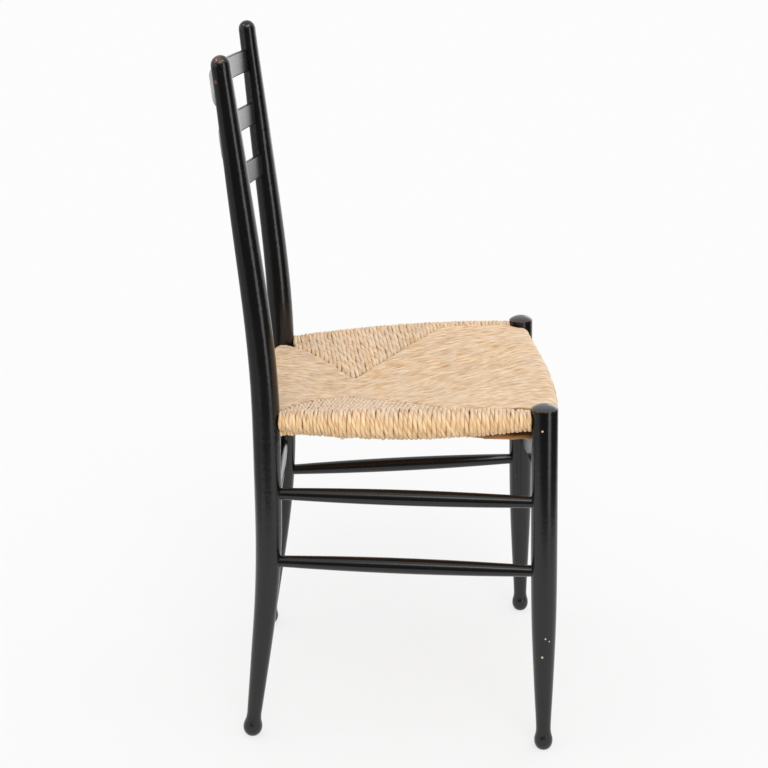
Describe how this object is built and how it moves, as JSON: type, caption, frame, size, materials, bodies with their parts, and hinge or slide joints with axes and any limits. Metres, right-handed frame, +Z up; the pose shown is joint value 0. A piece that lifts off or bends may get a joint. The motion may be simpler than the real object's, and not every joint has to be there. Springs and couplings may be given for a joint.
{
  "type": "ladderback chair",
  "caption": "Ladderback side chair with turned black legs on ball feet, bowed back slats, round stretchers, a flat bowed front stretcher and a woven rush seat.",
  "frame": {"origin": "on the floor, at the middle of the chair's width and depth", "axes": "+Z up, the sitter faces -Y, +X is the sitter's left"},
  "size_m": [0.4666, 0.4421, 0.8958],
  "materials": {
    "ebonised_beech": "semi-gloss black lacquer",
    "bare_beech": "turned, unfinished",
    "rush": "twisted golden rush cord",
    "loose_rush": "dry loose rush"
  },
  "bodies": {
    "root": {"back_post_left": "ebonised_beech", "back_post_right": "ebonised_beech", "front_leg_left": "ebonised_beech", "front_leg_right": "ebonised_beech", "slat_top": "ebonised_beech", "slat_middle": "ebonised_beech", "slat_bottom": "ebonised_beech", "front_stretcher": "ebonised_beech", "back_stretcher": "ebonised_beech", "side_stretcher_upper_left": "ebonised_beech", "side_stretcher_upper_right": "ebonised_beech", "side_stretcher_lower_left": "ebonised_beech", "side_stretcher_lower_right": "ebonised_beech", "seat_rail_front": "bare_beech", "seat_rail_back": "bare_beech", "seat_rail_left": "bare_beech", "seat_rail_right": "bare_beech", "rush_front": "rush", "rush_back": "rush", "rush_left": "rush", "rush_right": "rush", "seat_stuffing": "loose_rush"}
  },
  "joints": []
}
